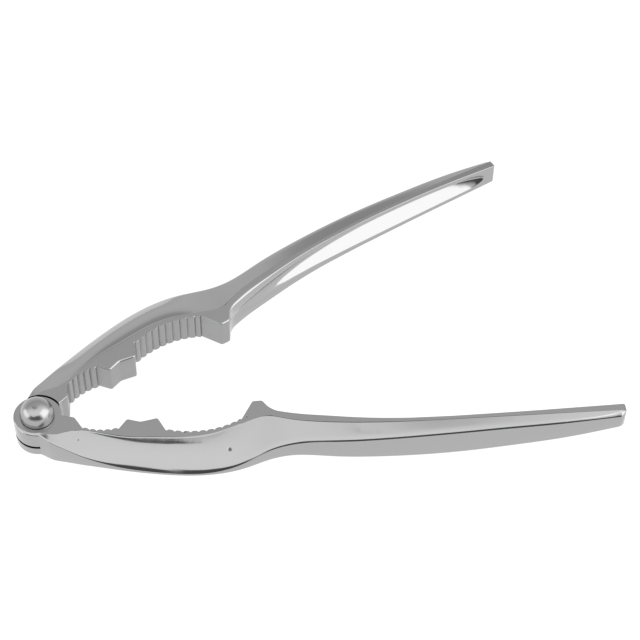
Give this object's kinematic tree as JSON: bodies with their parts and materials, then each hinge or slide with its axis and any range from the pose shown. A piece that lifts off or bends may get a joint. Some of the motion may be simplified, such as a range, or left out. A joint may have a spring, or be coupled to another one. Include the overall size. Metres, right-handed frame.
{
  "type": "nutcracker",
  "caption": "Lever nutcracker with a small and a large toothed nut cavity between two cast arms on a riveted pivot.",
  "frame": {"origin": "centre of the rivet tail's flat face, on the pivot axis, where the tool lies on the table", "axes": "+Z along the pivot axis towards the domed rivet head; +X from the pivot towards the tips, midway between the two arms; the fork arm is on the -Y side"},
  "size_m": [0.1884, 0.1182, 0.0183],
  "materials": {
    "plated_casting": "bright chrome plate over a zinc die casting, satin on the toothed faces",
    "polished_rivet": "polished dome",
    "plain_washer": "plain zinc-plated steel"
  },
  "bodies": {
    "fork_side": {"fork_arm": "plated_casting", "pivot_rivet": "polished_rivet", "rivet_washer": "plain_washer"},
    "tongue_side": {"tongue_arm": "plated_casting"}
  },
  "joints": [
    {"name": "arm_pivot", "type": "hinge", "parent": "fork_side", "child": "tongue_side", "pos_m": [0, 0, 0.00635], "axis": [0, 0, 1], "range_deg": [-27.5, 92.5]}
  ]
}
